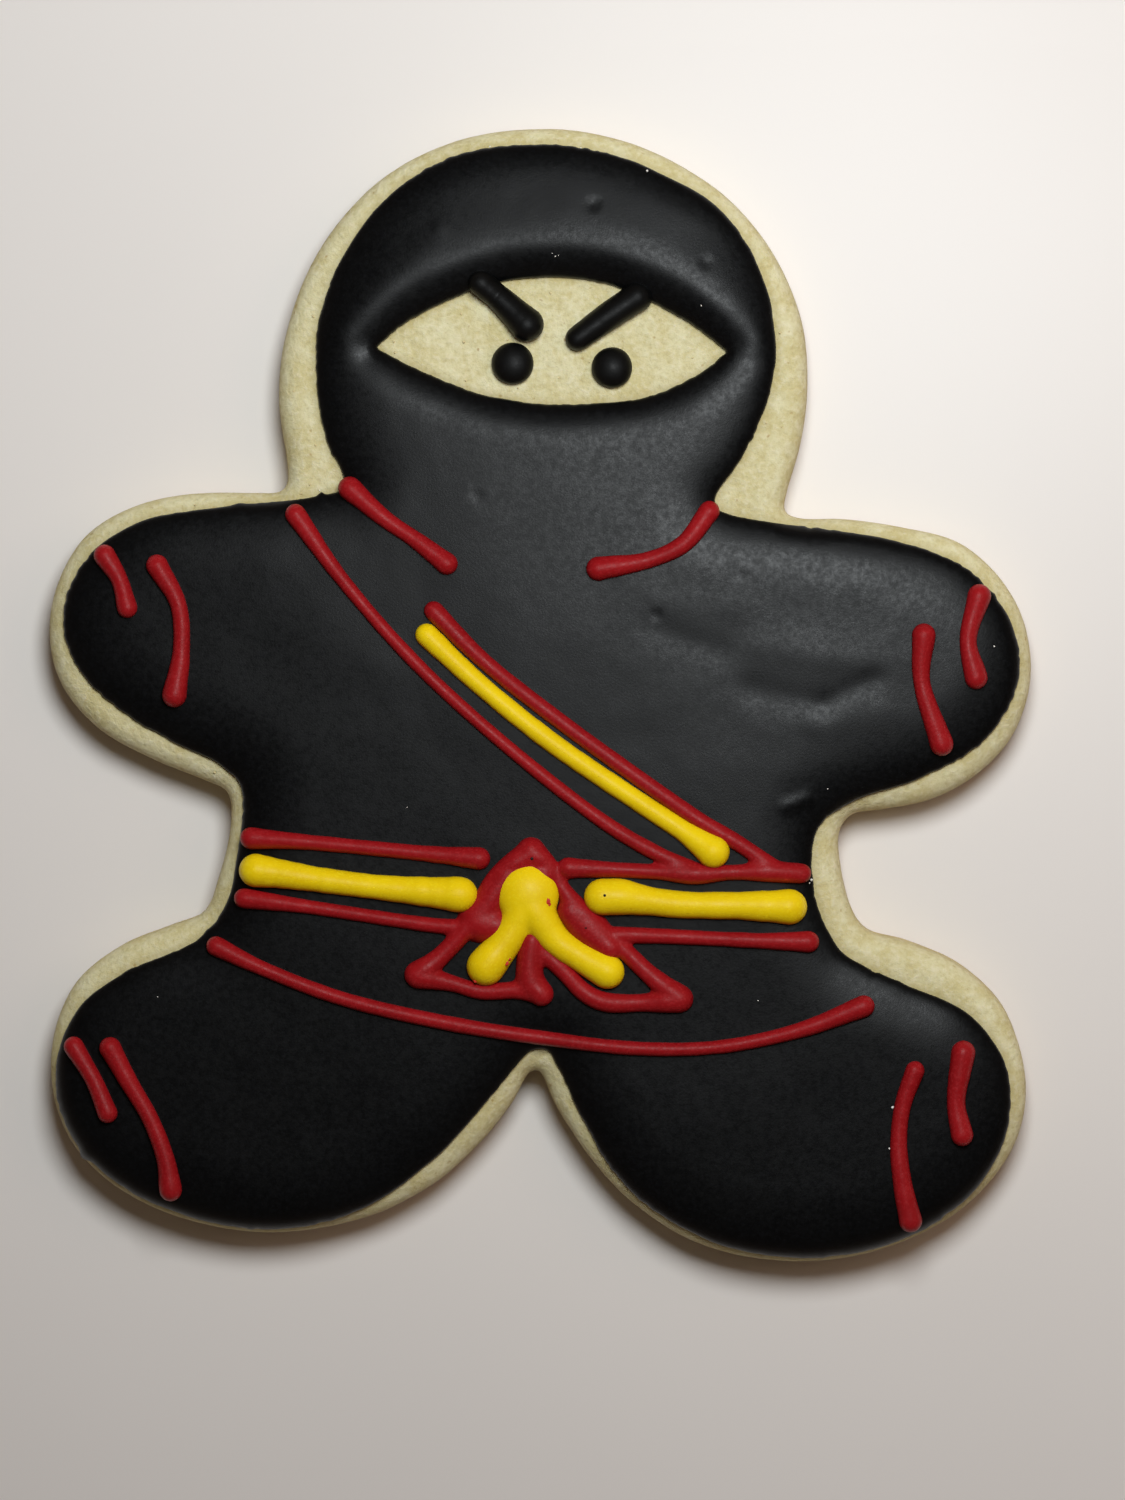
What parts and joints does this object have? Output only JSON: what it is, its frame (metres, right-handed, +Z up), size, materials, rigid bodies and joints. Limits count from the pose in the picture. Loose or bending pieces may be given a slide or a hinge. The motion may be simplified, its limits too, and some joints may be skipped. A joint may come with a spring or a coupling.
{
  "type": "cookie",
  "caption": "Flat gingerbread-figure sugar cookie iced as a hooded, masked fighter: black flood, bare eye slit, piped red and yellow sash and belt.",
  "frame": {"origin": "centre of the bounding box, on the flat underside", "axes": "+Z up out of the iced face, +Y towards the figure's head, +X to the right as the face is looked at"},
  "size_m": [0.0984, 0.1134, 0.011],
  "materials": {
    "baked_sugar_dough": null,
    "black_icing": "dried royal icing, satin, with a soft broad sheen",
    "red_icing": "dried royal icing, satin",
    "yellow_icing": "dried royal icing, satin"
  },
  "bodies": {
    "root": {"cookie": "baked_sugar_dough", "black_icing": "black_icing", "brow_left": "black_icing", "brow_right": "black_icing", "eye_left": "black_icing", "eye_right": "black_icing", "collar_left_red": "red_icing", "collar_right_red": "red_icing", "belt_top_left_red": "red_icing", "hem_red": "red_icing", "arm_left_outer_red": "red_icing", "arm_left_inner_red": "red_icing", "arm_right_inner_red": "red_icing", "arm_right_outer_red": "red_icing", "leg_left_outer_red": "red_icing", "leg_left_inner_red": "red_icing", "leg_right_inner_red": "red_icing", "leg_right_outer_red": "red_icing", "sash_belt_knot_red": "red_icing", "sash_yellow": "yellow_icing", "belt_left_yellow": "yellow_icing", "belt_right_yellow": "yellow_icing", "knot_yellow": "yellow_icing"}
  },
  "joints": []
}
